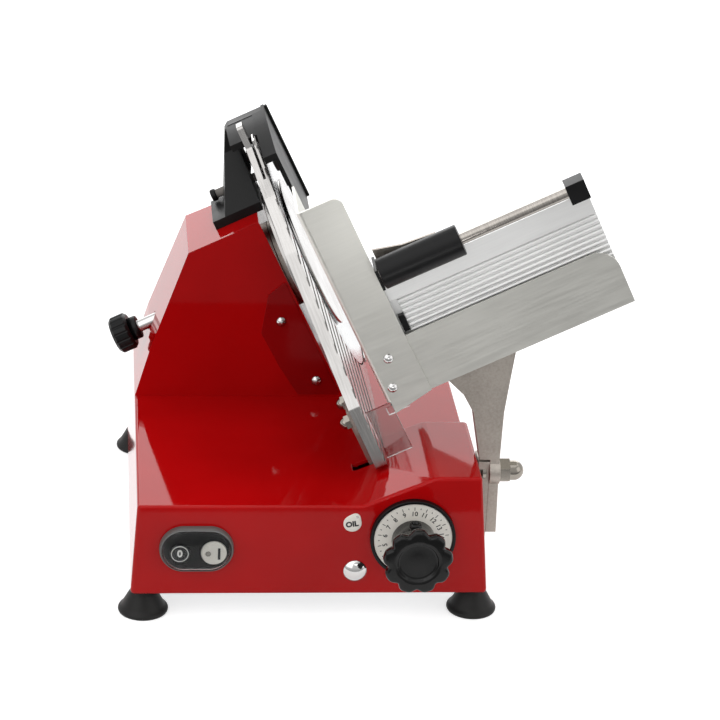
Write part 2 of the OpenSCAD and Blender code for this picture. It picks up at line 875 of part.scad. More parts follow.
// Two lugs on a foot that hold the inclined rod above the closing sheet
module gauge_rod_bracket() {
  left = [bracket_x[0] + 3, bracket_x[0] + 3 + bracket_lug_w];
  right = [bracket_x[1] - 2 - bracket_lug_w, bracket_x[1] - 2];
  color("dimgray") placed() difference() {
    union() {
      block(bracket_x, bracket_y, [plate_t, plate_t + bracket_t]);
      block(left, bracket_y, [plate_t, bracket_lug_z[0]]);
      block(right, bracket_y, [plate_t, bracket_lug_z[1]]);
    }
    in_feed() rod_x(gauge_rod_r + pin_gap, [gauge_rod_x[0] - 20, gauge_rod_x[1] + 20],
      [gauge_rod_y, knob_fz]);
  }
}

// Shaft of the thickness knob
module knob_shaft() {
  color("silver") placed() rod_y(knob_shaft_r, [knob_face + 9, cam_y[1] + 4], [knob_x, knob_z]);
}

// Spiral cam: its radius grows by the slice thickness as the knob turns anticlockwise
function cam_radius(a) = cam_low + gauge_max * min(max(a / knob_turn, 0), 1);
module thickness_cam() {
  steps = 48;
  span = knob_turn + 2 * cam_dwell;
  color("dimgray") placed() translate([knob_x, 0, knob_z]) difference() {
    front_prism(cam_y) rotate(180 + tilt) polygon([
      for (i = [0:steps]) let (a = span * i / steps - cam_dwell)
        cam_radius(a) * [cos(a), -sin(a)]
    ]);
    rod_y(knob_shaft_r + pin_gap, [cam_y[0] - 1, cam_y[1] + 1]);
  }
}

// Lobed hand knob with a smooth collar
module thickness_knob() {
  color("black") placed() translate([knob_x, 0, knob_z]) difference() {
    union() {
      front_prism([knob_face, knob_back]) {
        circle(r = knob_r - lobe_r + 1);
        for (i = [1:lobes]) rotate(i * 360 / lobes + 90) translate([knob_r - lobe_r, 0])
          circle(r = lobe_r);
      }
      rod_y(collar_r, [knob_back, dial_y[0]]);
    }
    rod_y(knob_r - 2 * lobe_r, [knob_face - 1, knob_face + knob_dish]);
    rod_y(knob_shaft_r + pin_gap, [knob_face + 8.8, 1]);
  }
}

// Graduated disc that turns with the knob
module dial_disc() {
  color("ivory") placed() translate([knob_x, 0, knob_z]) difference() {
    rod_y(dial_r, dial_y);
    rod_y(knob_shaft_r + pin_gap, [dial_y[0] - 1, 1]);
  }
}

// Fixed ring around the dial
module dial_ring() {
  color("black") placed() translate([knob_x, 0, knob_z]) difference() {
    rod_y(dial_r + dial_wide, [dial_y[0] - 1, 0]);
    rod_y(dial_r + button_gap, [dial_y[0] - 2, 1]);
  }
}

// Oval switch with its body behind the front panel and two wells for the buttons
module switch_housing() {
  body_w = 44;
  body_h = 32;
  color("black") placed() difference() {
    union() {
      front_prism([-3, 0]) translate(switch_at) oval(switch_w, switch_h);
      front_prism([-5, -3]) translate(switch_at) oval(switch_w - switch_step, switch_h - switch_step);
      front_prism([0, wall + 5]) translate(switch_at)
        oval(switch_w - 4 * switch_step, switch_h - 4 * switch_step);
      block([switch_at[0] - body_w / 2, switch_at[0] + body_w / 2], [wall + 5, switch_depth],
        [switch_at[1] - body_h / 2, switch_at[1] + body_h / 2]);
    }
    rod_y(stop_r + button_gap, [-6, button_travel + 1], stop_at);
    rod_y(start_r + button_gap, [-6, button_travel + 1], start_at);
  }
}

// Push buttons with a raised face
module push_button(p, r) {
  rod_y(r, [button_face + 1, 0], p);
  rod_y(r - 1, [button_face, button_face + 1], p);
}
module stop_button() {
  color("dimgray") placed() push_button(stop_at, stop_r);
}
module start_button() {
  color("white") placed() push_button(start_at, start_r);
}

// Domed plug of the oiling hole
module chrome_plug() {
  color("silver") placed() {
    rod_y(plug_stud_r, [0, wall + 6], plug_at);
    translate([plug_at[0], 0, plug_at[1]]) rotate([90, 0, 0]) intersection() {
      translate([0, 0, -sqrt(plug_dome * plug_dome - plug_r * plug_r)]) sphere(r = plug_dome);
      cylinder(r = plug_r + 1, h = plug_dome);
    }
  }
}

// Gland of the mains lead in the rear panel
module cable_gland() {
  color("black") placed() translate([gland_at[0], base_d, gland_at[1]]) difference() {
    union() {
      rod_y(gland_r, [-wall - 4, 0]);
      rod_y(gland_r + 4, [0, 5]);
      rod_y(gland_r - 1, [5, 18]);
    }
    rod_y(gland_r / 2, [-wall - 5, 19]);
  }
}

// Round rod that the carriage slides on
module carriage_rod() {
  color("silver") placed() rod_y(rod_r, [wall, base_d - wall], rod_at);
}

// Thin rod that keeps the carriage from turning
module anti_turn_rod() {
  color("silver") placed() rod_y(turn_rod_r, [wall, base_d - wall], turn_rod_at);
}

// Slider inside the base, with a neck through the slot and an upright tab outside
module carriage_slider() {
  ends = [slider_y[0] - 1, slider_y[1] + 1];
  color("darkgray") placed() difference() {
    union() {
      block(slider_x, slider_y, slider_z);
      block([slider_x[1] - 1, arm_in], neck_y, neck_z);
      front_prism(tab_y) polygon([
        [right_at(tab_z[0]) + pass_gap, tab_z[0]], [arm_in, tab_z[0]], [arm_in, tab_z[1]],
        [right_at(tab_z[1]) + pass_gap, tab_z[1]]
      ]);
    }
    rod_x(arm_head[0] + pin_gap, [slider_x[1], tab_x], [arm_bolt_y, arm_bolt_z]);
    rod_y(rod_r + run_gap, ends, rod_at);
    rod_y(turn_rod_r + run_gap, ends, turn_rod_at);
    rod_x(arm_bolt_r + pin_gap, [tab_x - 1, arm_in + 1], [arm_bolt_y, arm_bolt_z]);
  }
}

// Cast arm that carries the tray outside the base
module carriage_arm() {
  color("lightgray") placed() difference() {
    union() {
      front_prism(arm_y) polygon(arm_outline);
      rod_x(arm_boss_r, [arm_in, arm_out], [arm_bolt_y, arm_bolt_z]);
    }
    rod_x(arm_bolt_r + pin_gap, [arm_in - 1, arm_out + 1], [arm_bolt_y, arm_bolt_z]);
  }
}

// Bolt of the arm with its acorn nut
module arm_nut() {
  color("silver") placed() translate([0, arm_bolt_y, arm_bolt_z]) {
    rod_x(arm_head[0], [tab_x - arm_head[1], tab_x]);
    rod_x(arm_bolt_r, [tab_x - 1, arm_out + 1]);
    translate([arm_out, 0, 0]) rotate([0, 90, 0]) cylinder(r = arm_nut_r, h = arm_nut_h, $fn = 6);
    rod_x(arm_dome_r, [arm_out + arm_nut_h, arm_out + arm_nut_h + 4]);
    translate([arm_out + arm_nut_h + 4, 0, 0]) intersection() {
      sphere(r = arm_dome_r);
      rod_x(arm_dome_r + 1, [0, arm_dome_r + 1]);
    }
  }
}

// Bent sheet: the front skirt and the floor of the tray
module tray() {
  low = floor_z - sheet;
  back = tray_y + skirt_t;
  color("silver") feed() difference() {
    union() {
      block([floor_left, tray_end], [tray_y, tray_y + tray_d], [low, floor_z]);
      block([skirt_left, tray_end], [tray_y, back], [low, skirt_top]);
    }
    translate([tray_end - skirt_corner, 0, skirt_top - skirt_corner]) difference() {
      block([0, skirt_corner + 1], [tray_y - 1, back + 1], [0, skirt_corner + 1]);
      rod_y(skirt_corner, [tray_y - 2, back + 2]);
    }
    for (p = guard_screw_at) rod_y(guard_screw_r + pin_gap, [tray_y - 1, back + 1], p);
  }
}

// Extruded wall of the tray, ribbed along the feed direction below a smooth top band
module ribbed_wall() {
  end = tray_end - 1;
  color("whitesmoke") feed() {
    block([wall_start, end], [wall_y, wall_back], [floor_z, wall_top]);
    block([wall_start, end], [band_y, wall_y], [band_low, wall_top]);
    for (i = [1:ribs]) intersection() {
      rod_x(rib_r, [cap_x, end], [wall_y, band_low - i * rib_step]);
      block([cap_x, end], [wall_y - 2 * rib_r, wall_y], [floor_z, wall_top]);
    }
  }
}

// End cap of the ribs beside the guard
module wall_end_cap() {
  color("black") feed() block([wall_left, cap_x], [band_y, wall_y], cap_z);
}

// Bent guard between the hand and the blade
module hand_guard() {
  sheet_t = guard_y[1] - guard_y[0];
  x0 = guard_left + guard_bend;
  y0 = guard_y[0] + guard_bend;
  color("silver") feed() difference() {
    union() {
      front_prism(guard_y) polygon([
        [x0, guard_top], [guard_right, guard_top], [guard_right, -8], [guard_right + 1, -62],
        [shield_x[1], -69], [shield_x[1], guard_return_low], [x0, guard_return_low]
      ]);
      plan_prism([guard_return_low, guard_top]) intersection() {
        translate([x0, y0]) difference() {
          circle(r = guard_bend);
          circle(r = guard_bend - sheet_t);
        }
        translate([guard_left, guard_y[0]]) square(guard_bend);
      }
      block([guard_left, guard_left + sheet_t], [y0, guard_back], [guard_return_low, guard_top]);
    }
    translate([guard_right - guard_corner, 0, guard_top - guard_corner]) difference() {
      block([0, guard_corner + 1], [guard_y[0] - 1, guard_y[1] + 1], [0, guard_corner + 1]);
      rod_y(guard_corner, [guard_y[0] - 2, guard_y[1] + 2]);
    }
    for (p = guard_screw_at) rod_y(guard_screw_r + pin_gap, [guard_y[0] - 1, guard_y[1] + 1], p);
  }
}

// Clear shield below the guard, lapped behind its lower edge
module guard_shield() {
  color("lightcyan") feed() {
    block(shield_x, guard_y, shield_z);
    block([shield_x[1] - 6, shield_lap], [guard_y[1], guard_y[1] + shield_t],
      [-69, floor_z - sheet - pin_gap]);
  }
}

// Domed screws that hold the guard to the skirt
module guard_screws() {
  color("silver") feed() for (p = guard_screw_at) {
    dome_y(p, guard_y[0], dome_r, dome_drop);
    rod_y(guard_screw_r, [guard_y[0], tray_y + skirt_t], p);
  }
}

// Steel rod that the pusher slides on
module pusher_rod() {
  color("silver") feed() rod_x(push_r, [wall_left + 0.3, tray_end - 3], [push_y, push_z]);
}

// Block and plate that hold the rod above the wall
module rod_brackets() {
  color("black") feed() difference() {
    union() {
      block([tray_end - end_block[0], tray_end], [end_block_y, end_block_back],
        [push_z - end_block[1], push_z + end_block[1]]);
      block([tray_end - end_block[0], tray_end], [end_block_back - 2, wall_back],
        [wall_top, end_leg_top]);
      block([wall_left, wall_left + end_plate[0]], [push_y - end_plate[1], wall_back],
        [wall_top, push_z + end_plate[1]]);
    }
    rod_x(push_r + pin_gap, [wall_left - 1, tray_end - 3], [push_y, push_z]);
  }
}

// Plain sleeve that slides along the rod
module pusher_sleeve() {
  color("goldenrod") feed() translate([0, push_y, push_z]) difference() {
    rod_x(sleeve_r, sleeve_x);
    rod_x(push_r + run_gap, [sleeve_x[0] - 1, sleeve_x[1] + 1]);
  }
}

// Round grip of the pusher
module pusher_handle() {
  color("black") feed() translate([0, push_y, push_z]) turned_x() polygon(soft([
    [sleeve_r + run_gap, grip_x[0]], [grip_r, grip_x[0]], [grip_r, grip_x[1]],
    [sleeve_r + run_gap, grip_x[1]]
  ], 1, 3));
}

// Arm of the pusher with its toothed plate, reaching over the wall to the product
module pusher_plate() {
  tooth = [2, 0.4, 3.2];
  pitch = 13;
  color("darkgray") feed() difference() {
    union() {
      side_prism(plate_arm_x) polygon([
        [push_y + 4, plate_arm_z[0]], [plate_near, plate_arm_z[0]], [plate_near, plate_low],
        [plate_far, plate_low], [plate_far, plate_back_top], [plate_near + 5, plate_arm_z[1]],
        [push_y + 4, plate_arm_z[1]]
      ]);
      front_prism(lever_y) polygon([
        [lever_x[0], lever_low[0]], [lever_x[2], lever_low[1]], [lever_x[2], lever_top[2]],
        [lever_x[1], lever_top[1]], [lever_x[0], lever_top[0]]
      ]);
      for (i = [0:3], j = [0:4])
        translate([plate_arm_x[0], plate_near + 12 + i * pitch, plate_low + 10 + j * pitch])
          rotate([0, -90, 0]) cylinder(r1 = tooth[0], r2 = tooth[1], h = tooth[2], $fn = 16);
    }
    rod_x(grip_r + run_gap, [plate_arm_x[0] - 1, lever_x[2] + 1], [push_y, push_z]);
  }
}

base_casing();
bottom_plate();
foot_front_left();
foot_front_right();
foot_rear_left();
foot_rear_right();
foot_screws();
motor_housing();
housing_cover_plate();
cover_screws();
motor();
motor_pulley();
drive_belt();
bearing_housing();
shaft_bearings();
blade_shaft();
blade_pulley();
blade();
blade_screws();
blade_cover();
tie_rod();
tie_rod_knob();
ring_guard();
sharpener_body();
sharpener_hood();
sharpening_stone();
sharpening_button();
deburring_stone();
gauge_plate();
gauge_support();
gauge_nuts();
cam_roller();
gauge_rod();
gauge_rod_bracket();
knob_shaft();
thickness_cam();
thickness_knob();
dial_disc();
dial_ring();
switch_housing();
stop_button();
start_button();
chrome_plug();
cable_gland();
carriage_rod();
anti_turn_rod();
carriage_slider();
carriage_arm();
arm_nut();
tray();
ribbed_wall();
wall_end_cap();
hand_guard();
guard_shield();
guard_screws();
pusher_rod();
rod_brackets();
pusher_sleeve();
pusher_handle();
pusher_plate();
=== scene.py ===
import math

import bmesh
import bpy
from mathutils import Matrix, Vector


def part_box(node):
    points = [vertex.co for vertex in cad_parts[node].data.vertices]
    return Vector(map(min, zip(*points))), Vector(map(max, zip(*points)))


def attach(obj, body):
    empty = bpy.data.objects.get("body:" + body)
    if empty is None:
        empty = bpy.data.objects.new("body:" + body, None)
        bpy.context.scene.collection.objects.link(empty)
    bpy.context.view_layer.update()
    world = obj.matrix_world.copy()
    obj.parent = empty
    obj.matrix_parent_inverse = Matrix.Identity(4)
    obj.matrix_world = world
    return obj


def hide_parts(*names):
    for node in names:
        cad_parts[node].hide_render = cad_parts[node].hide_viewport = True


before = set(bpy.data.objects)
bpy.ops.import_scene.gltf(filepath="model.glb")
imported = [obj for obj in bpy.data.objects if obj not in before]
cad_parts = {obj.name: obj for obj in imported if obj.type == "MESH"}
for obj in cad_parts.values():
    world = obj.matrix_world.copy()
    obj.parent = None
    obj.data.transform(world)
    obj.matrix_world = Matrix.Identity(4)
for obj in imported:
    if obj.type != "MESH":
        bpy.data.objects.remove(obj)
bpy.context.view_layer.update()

# Lengths are in metres. Profiles of small pieces are lists in millimetres, scaled by mm.
mm = 0.001
quarter = math.radians(90)

# Centre of the blade and the lean of its axis, which the drive, gauge plate and tray share.
hub = Vector((-0.0322, 0.0955, 0.227))
tilt = math.radians(-26)


def add(name, data):
    made = bpy.data.objects.new(name, data)
    bpy.context.scene.collection.objects.link(made)
    return made


def centre(name):
    low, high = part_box(name)
    return (low + high) / 2


# Camera: a long lens from the front, a little left of the slicer and looking down on it.
# The picture is 720 pixels wide, with no lens shift.
eye = Vector((-0.2194, -2.1121, 1.1200))
across = Vector((0.9953, -0.0857, 0.0440))
upward = Vector((-0.0047, 0.4131, 0.9105))
aim = Matrix((across, upward, across.cross(upward))).transposed().to_4x4()
lens = bpy.data.cameras.new("lens")
lens.sensor_width = 36
lens.lens = 133.85
lens.clip_end = 20
camera = add("camera", lens)
camera.matrix_world = Matrix.Translation(eye) @ aim
bpy.context.scene.camera = camera
bpy.context.scene.view_settings.view_transform = "Standard"


# Shader nodes: put makes a node and fills or links its sockets, and the others use it.
# Colours are written as on a screen and turned into linear light.
def linear(code):
    parts = [int(code[i:i + 2], 16) / 255 for i in (0, 2, 4)]
    return (*[c / 12.92 if c <= 0.04045 else ((c + 0.055) / 1.055) ** 2.4 for c in parts], 1)


def put(tree, kind, sockets=(), **settings):
    made = tree.nodes.new(kind)
    for name, value in settings.items():
        setattr(made, name, value)
    for name, value in dict(sockets).items():
        if isinstance(value, bpy.types.NodeSocket):
            tree.links.new(value, made.inputs[name])
        else:
            made.inputs[name].default_value = value
    return made


def spread(tree, value, start, end):
    return put(tree, "ShaderNodeMapRange", {
        "Value": value, "From Min": start[0], "From Max": start[1],
        "To Min": end[0], "To Max": end[1]}).outputs[0]


def noise(tree, place, grain, detail):
    return put(tree, "ShaderNodeTexNoise", {
        "Vector": place, "Scale": 1 / grain, "Detail": detail}).outputs["Fac"]


def tone(tree, value, stops, colours):
    ramp = put(tree, "ShaderNodeValToRGB", {"Fac": value})
    for point, stop, code in zip(ramp.color_ramp.elements, stops, colours):
        point.position = stop
        point.color = linear(code)
    return ramp.outputs["Color"]


def rise(tree, height, strength):
    return put(tree, "ShaderNodeBump", {
        "Height": height, "Strength": strength, "Distance": 0.2 * mm}).outputs["Normal"]


def any_ray(tree, *kinds):
    rays = put(tree, "ShaderNodeLightPath")
    total = rays.outputs[kinds[0]]
    for kind in kinds[1:]:
        pair = {0: total, 1: rays.outputs[kind]}
        total = put(tree, "ShaderNodeMath", pair, operation="ADD", use_clamp=True).outputs[0]
    return total


# White studio: a white surround, softer as light than it looks to the camera.
# In reflections it is dimmer low down in front, so that the front of the enamel stays deep.
white = linear("FFFFFF")
dimmest = 0.38
world = bpy.data.worlds.new("studio")
bpy.context.scene.world = world
world.use_nodes = True
air = world.node_tree
air.nodes.clear()
toward = put(air, "ShaderNodeSeparateXYZ", {0: put(air, "ShaderNodeTexCoord").outputs["Generated"]})
back = spread(air, toward.outputs["Y"], (-0.75, 0.1), (dimmest, 1.0))
lift = spread(air, toward.outputs["Z"], (-0.3, 0.2), (dimmest, 0.8))
brighter = put(air, "ShaderNodeMath", {0: back, 1: lift}, operation="MAXIMUM")
soft_light = put(air, "ShaderNodeBackground", {"Color": white, "Strength": 0.42})
mirrored = put(air, "ShaderNodeBackground", {"Color": white, "Strength": brighter.outputs[0]})
backdrop = put(air, "ShaderNodeBackground", {"Color": white, "Strength": 1.0})
around = put(air, "ShaderNodeMixShader", {
    0: any_ray(air, "Is Glossy Ray", "Is Transmission Ray"),
    1: soft_light.outputs[0], 2: mirrored.outputs[0]})
either = put(air, "ShaderNodeMixShader", {
    0: any_ray(air, "Is Camera Ray"), 1: around.outputs[0], 2: backdrop.outputs[0]})
put(air, "ShaderNodeOutputWorld", {"Surface": either.outputs[0]})

# Floor: a pale sheet that ends a little in front of the slicer, where the surround takes over.
# It glows to the camera and in reflections, and still takes the shadow of the feet.
paper = bpy.data.materials.new("white_paper")
paper.use_nodes = True
tree = paper.node_tree
tree.nodes.clear()
matt = put(tree, "ShaderNodeBsdfDiffuse", {"Color": linear("E6E6E6")})
glow = put(tree, "ShaderNodeEmission", {"Color": white, "Strength": 0.62})
both = put(tree, "ShaderNodeAddShader", {0: matt.outputs[0], 1: glow.outputs[0]})
either = put(tree, "ShaderNodeMixShader", {
    0: any_ray(tree, "Is Camera Ray", "Is Glossy Ray", "Is Transmission Ray"),
    1: matt.outputs[0], 2: both.outputs[0]})
put(tree, "ShaderNodeOutputMaterial", {"Surface": either.outputs[0]})
left, right, near, far = -2.5, 2.5, -0.36, 4
sheet = bpy.data.meshes.new("floor")
sheet.from_pydata([(left, near, 0), (right, near, 0), (right, far, 0), (left, far, 0)], [], [(0, 1, 2, 3)])
sheet.materials.append(paper)
floor = add("floor", sheet)

# Four soft boxes: a large one above on the left, a weaker one on the right, one overhead,
# and a wide one behind, which draws the pale streaks on the enamel.
# A small lit card close in front brightens the top of the hand guard.
# Each has its place, its width and height, its power in watts and the point it is aimed at.
slicer_middle = Vector((0, 0, 0.18))
guard_top = Vector((0.02, -0.23, 0.34))
for name, place, size, power, target in (
        ("left_box", (-1.5, -1.5, 1.7), (2.6, 2.6), 24, slicer_middle),
        ("right_box", (1.9, -1.2, 1.0), (1.8, 1.8), 9, slicer_middle),
        ("overhead_box", (0.1, 0.1, 2.2), (3.0, 3.0), 19, slicer_middle),
        ("rear_box", (0.2, 2.3, 1.1), (2.8, 1.2), 24, slicer_middle),
        ("guard_card", (0.04, -0.42, 0.26), (0.12, 0.06), 0.09, guard_top)):
    lamp = bpy.data.lights.new(name, "AREA")
    lamp.shape = "RECTANGLE"
    lamp.size, lamp.size_y = size
    lamp.energy = power
    box = add(name, lamp)
    box.visible_camera = False
    box.location = place
    box.rotation_mode = "QUATERNION"
    box.rotation_quaternion = (target - Vector(place)).to_track_quat("-Z", "Y")

# Materials: blank starts one, coat gives it a shader, and each kind of finish has its function.
# A noise hardly leaves noise_span, and a colour that is to vary more is spread over noise_core.
noise_span = (0.3, 0.7)
noise_core = (0.35, 0.65)


def blank(name):
    made = bpy.data.materials.new(name)
    made.use_nodes = True
    made.node_tree.nodes.clear()
    place = put(made.node_tree, "ShaderNodeTexCoord").outputs["Object"]
    return made, made.node_tree, place


def coat(tree, sockets):
    shader = put(tree, "ShaderNodeBsdfPrincipled", sockets)
    put(tree, "ShaderNodeOutputMaterial", {"Surface": shader.outputs[0]})


# Stoved enamel: glossy, with a faint orange peel of about 3 mm and a slow drift of colour.
def enamel(name, deep, bright):
    made, tree, place = blank(name)
    peel = noise(tree, place, grain=0.003, detail=1.0)
    drift = noise(tree, place, grain=0.09, detail=2.0)
    coat(tree, {
        "Base Color": tone(tree, drift, noise_span, (deep, bright)),
        "Roughness": 0.05,
        "IOR": 1.24,
        "Normal": rise(tree, peel, strength=0.03)})
    return made


# Bare metal: run is how many times a metre the grain changes, along and across the leaning axis.
# A cloud of about 50 mm lies over it.
def drawn_metal(name, dark, light, rough, run, depth=0.06):
    made, tree, place = blank(name)
    turned = put(tree, "ShaderNodeMapping", {
        "Vector": place, "Rotation": (0, tilt, 0)}, vector_type="TEXTURE")
    stretched = put(tree, "ShaderNodeMapping", {"Vector": turned.outputs[0], "Scale": run})
    lines = noise(tree, stretched.outputs[0], grain=1.0, detail=3.0)
    cloud = noise(tree, place, grain=0.05, detail=2.0)
    total = put(tree, "ShaderNodeMath", {0: lines, 1: cloud}, operation="ADD")
    half = put(tree, "ShaderNodeMath", {0: total.outputs[0], 1: 0.5}, operation="MULTIPLY")
    coat(tree, {
        "Metallic": 1.0,
        "Base Color": tone(tree, half.outputs[0], noise_core, (dark, light)),
        "Roughness": spread(tree, lines, noise_span, rough),
        "Normal": rise(tree, lines, depth)})
    return made


# Moulded or printed surface: a fine skin of the size grit and a cloud of about 30 mm.
def moulded(name, dark, light, rough, grit, depth, ior=1.45):
    made, tree, place = blank(name)
    grain = noise(tree, place, grain=grit, detail=2.0)
    cloud = noise(tree, place, grain=0.03, detail=3.0)
    coat(tree, {
        "Base Color": tone(tree, cloud, noise_core, (dark, light)),
        "Roughness": spread(tree, cloud, noise_span, rough),
        "IOR": ior,
        "Normal": rise(tree, grain, depth)})
    return made


# Plating: a mirror with faint polishing clouds.
def plated(name, colour, rough):
    made, tree, place = blank(name)
    cloud = noise(tree, place, grain=0.006, detail=3.0)
    coat(tree, {
        "Metallic": 1.0,
        "Base Color": linear(colour),
        "Roughness": spread(tree, cloud, noise_span, (rough, rough + 0.08))})
    return made


# Clear moulding: see-through, with a slight haze that comes and goes.
def clear(name, colour, ior, grain, rough):
    made, tree, place = blank(name)
    haze = noise(tree, place, grain=grain, detail=2.0)
    coat(tree, {
        "Transmission Weight": 1.0,
        "Base Color": linear(colour),
        "IOR": ior,
        "Roughness": spread(tree, haze, noise_span, rough)})
    return made


# Dressing a CAD part: its material, one welded skin, and a small round on each edge.
# With whole, flat faces are joined first, so that the round meets no needless edges.
def dress(material, *names, edge=0.0003, rows=2, whole=True):
    for name in names:
        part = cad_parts[name]
        part.data.materials.clear()
        part.data.materials.append(material)
        part.data.shade_smooth()
        weld = part.modifiers.new("one_skin", "WELD")
        weld.merge_threshold = 0.002 * mm
        if whole:
            flat = part.modifiers.new("whole_faces", "DECIMATE")
            flat.decimate_type = "DISSOLVE"
            flat.angle_limit = math.radians(0.4)
            flat.delimit = {"NORMAL"}
        round_off = part.modifiers.new("rounded_edge", "BEVEL")
        round_off.width = edge
        round_off.segments = rows
        round_off.limit_method = "ANGLE"
        round_off.angle_limit = math.radians(32)
        shade = part.modifiers.new("even_shade", "WEIGHTED_NORMAL")
        shade.weight = 100


# Wider rounds on chosen corners of a dressed part, made before the small round on each edge.
def round_corners(name, corner, wide, rows):
    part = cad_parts[name]
    group = part.vertex_groups.new(name="outer_corners")
    group.add([v.index for v in part.data.vertices if corner(v.co)], 1.0, "REPLACE")
    soft = part.modifiers.new("soft_corner", "BEVEL")
    soft.width = wide
    soft.segments = rows
    soft.limit_method = "VGROUP"
    soft.vertex_group = "outer_corners"
    made_at = len(part.modifiers) - 1
    part.modifiers.move(made_at, part.modifiers.find("rounded_edge"))


# Turned pieces: rings of points around an axis, skinned into one surface.
# A row of the profile is the place along the axis and the radius, and what shape asks for besides.
# With stretch, the two halves of each ring are pulled apart into an oval. The rings in caps are closed.
def lathe(built, place, profile, count, caps=(), shape=None, stretch=0):
    rings = []
    for along, radius, *more in profile:
        ring = []
        for i in range(count):
            turn = 2 * math.pi * i / count
            r = radius * shape(turn, *more) if shape else radius
            aside = stretch if math.sin(turn) > 0 else -stretch
            point = Vector((aside + r * math.sin(turn), r * math.cos(turn), along))
            ring.append(built.verts.new(place @ point))
        rings.append(ring)
    for lower, upper in zip(rings, rings[1:]):
        for i in range(count):
            j = (i + 1) % count
            built.faces.new((lower[i], lower[j], upper[j], upper[i]))
    for end in caps:
        built.faces.new(rings[end])


# Place for a turned piece in millimetres that stands out from a front face.
def facing(at_x, at_z, front):
    return Matrix.Translation((at_x, front, at_z)) @ Matrix.Rotation(quarter, 4, "X") @ Matrix.Scale(mm, 4)


def finished(name, built, material, body, smooth=True):
    mesh = bpy.data.meshes.new(name)
    if smooth:
        bmesh.ops.recalc_face_normals(built, faces=built.faces)
    built.to_mesh(mesh)
    built.free()
    if smooth:
        mesh.shade_smooth()
    mesh.materials.append(material)
    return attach(add(name, mesh), body)


def turned_piece(name, place, profile, count, material, body, **form):
    built = bmesh.new()
    lathe(built, place, profile, count, **form)
    return finished(name, built, material, body)


# Printed words, each with its size, place and turn, standing out from a front face.
def lettering(name, marks, front, material, body, thick=0.0001, bold=0.0):
    built = bmesh.new()
    for words, size, at_x, at_z, turn in marks:
        letters = bpy.data.curves.new(name + "_ink", "FONT")
        letters.body = words
        letters.size = size
        letters.extrude = thick / 2
        letters.offset = bold
        letters.align_x = "CENTER"
        letters.align_y = "CENTER"
        letters.resolution_u = 3
        carrier = add(name + "_ink", letters)
        bpy.context.view_layer.update()
        drawn = carrier.evaluated_get(bpy.context.evaluated_depsgraph_get())
        shape = bpy.data.meshes.new_from_object(drawn)
        upright = Matrix.Rotation(turn, 4, "Y") @ Matrix.Rotation(quarter, 4, "X")
        shape.transform(Matrix.Translation((at_x, front - thick / 2, at_z)) @ upright)
        built.from_mesh(shape)
        bpy.data.objects.remove(carrier)
        bpy.data.meshes.remove(shape)
    return finished(name, built, material, body, smooth=False)


# Printed bars, each with its place, width, height and turn, with softened edges.
def bars(name, marks, front, thick, material, body):
    built = bmesh.new()
    for at_x, at_z, wide, tall, turn in marks:
        place = Matrix.Translation((at_x, front - thick / 2, at_z)) @ Matrix.Rotation(turn, 4, "Y")
        size = Matrix.Diagonal((wide, thick, tall, 1))
        stroke = bmesh.ops.create_cube(built, size=1, matrix=place @ size)
        edges = list({e for v in stroke["verts"] for e in v.link_edges})
        bmesh.ops.bevel(built, geom=edges, offset=min(wide, thick, tall) * 0.3, segments=2, affect="EDGES")
    return finished(name, built, material, body, smooth=False)


# Base casing: one aluminium casting, sprayed and stoved in glossy red enamel.
# Its outer corners have a wide round, and the openings behind the fittings keep a small one.
red_enamel = enamel("stoved_red_enamel", "AA0608", "B8080B")
dress(red_enamel, "base_casing", edge=0.0006)
casing_low, casing_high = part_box("base_casing")
panel = casing_low.y
raised_back = -0.0575
casing_faces = (panel, casing_high.y, raised_back)
fittings = [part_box(name) for name in ("switch_housing", "dial_ring", "chrome_plug", "cable_gland")]
margin = 3 * mm


def casing_corner(point):
    on_face = min(abs(point.y - face) for face in casing_faces) < 0.02 * mm
    at_opening = any(
        low.x - margin < point.x < high.x + margin and low.z - margin < point.z < high.z + margin
        for low, high in fittings)
    return on_face and not at_opening


round_corners("base_casing", casing_corner, wide=0.004, rows=4)

# Closing sheet and the screws of the feet: plain rolled steel with a fine drawn grain.
# Rolling leaves faint lines along the depth, drawn here about 1 mm apart so that they show.
rolled_steel = drawn_metal("rolled_steel", "8A8B8D", "A9AAAC", rough=(0.32, 0.46), run=(1000, 30, 1000))
dress(rolled_steel, "bottom_plate", "foot_screws", edge=0.0004)

# Feet: moulded black rubber with a wide flared sole, so that the slicer does not creep.
# Rubber is matt and slightly dusty, with a fine skin of about half a millimetre.
black_rubber = moulded(
    "moulded_black_rubber", "121110", "1B1A19", rough=(0.4, 0.52), grit=0.0006, depth=0.25, ior=1.32)
feet = ("foot_front_left", "foot_front_right", "foot_rear_left", "foot_rear_right")
dress(black_rubber, *feet, edge=0.0008, whole=False)

# Motor housing: a folded and welded sheet box, enamelled with the base.
# The folds, listed as seen from the front, are soft, so the paint shows a bright line along each.
dress(red_enamel, "motor_housing", edge=0.0004)
house_low, house_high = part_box("motor_housing")
bend = (-0.1766, 0.1515)
shoulder = (-0.1445, 0.2429)
ridge = (-0.0843, house_high.z)
folds = ((house_low.x, house_low.z), bend, shoulder, ridge, (house_high.x, house_low.z))


def housing_fold(point):
    reach = 0.8 * mm
    return any(abs(point.x - x) < reach and abs(point.z - z) < reach for x, z in folds)


round_corners("motor_housing", housing_fold, wide=0.0032, rows=4)

# Small cover plate on the front of the housing: thin sheet in the same enamel, a shade deeper.
# Its two domed screws are chromed, like the plug, the tie rod and the screws of the guard.
deep_enamel = enamel("stoved_deep_red_enamel", "8C0609", "98080C")
dress(deep_enamel, "housing_cover_plate", edge=0.0005, rows=3)
chrome = plated("bright_chrome_plate", "C4C3C2", rough=0.06)
dress(chrome, "cover_screws")

